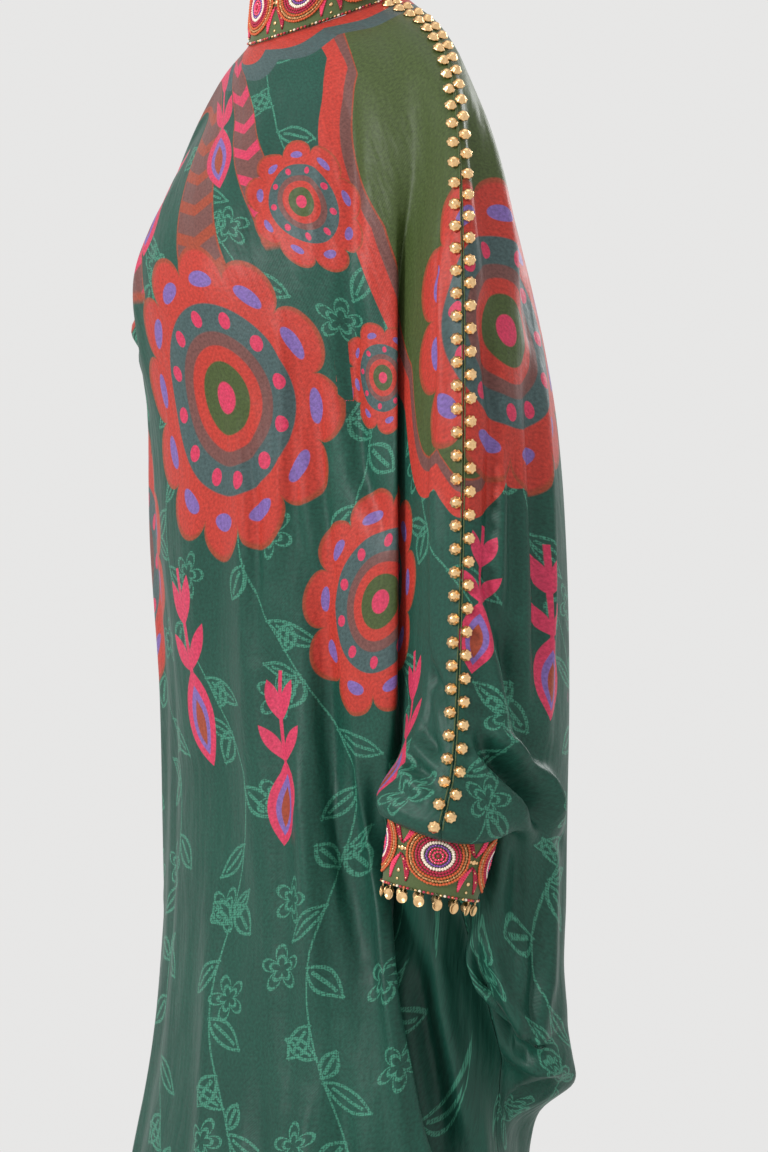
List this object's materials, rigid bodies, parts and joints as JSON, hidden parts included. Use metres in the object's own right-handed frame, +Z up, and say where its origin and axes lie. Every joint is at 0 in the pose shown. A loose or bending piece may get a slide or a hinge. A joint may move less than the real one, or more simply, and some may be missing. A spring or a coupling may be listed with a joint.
{
  "type": "one-shoulder dress",
  "caption": "Long draped dress open at the right shoulder, with a stand collar, a batwing sleeve gathered into a beaded cuff, studs along the over-arm seam and a fluted skirt.",
  "frame": {"origin": "middle of the collar's base ring, on the wearer's neck", "axes": "+Z up, the wearer faces -Y and the wearer's left arm, which has the sleeve, is at +X"},
  "size_m": [0.5419, 0.4215, 1.5338],
  "materials": {
    "satin": "satin",
    "braid": "embroidered",
    "brass": "polished"
  },
  "bodies": {
    "root": {"front": "satin", "back": "satin", "collar": "braid", "cuff": "braid", "studs_front": "brass", "studs_back": "brass"}
  },
  "joints": []
}
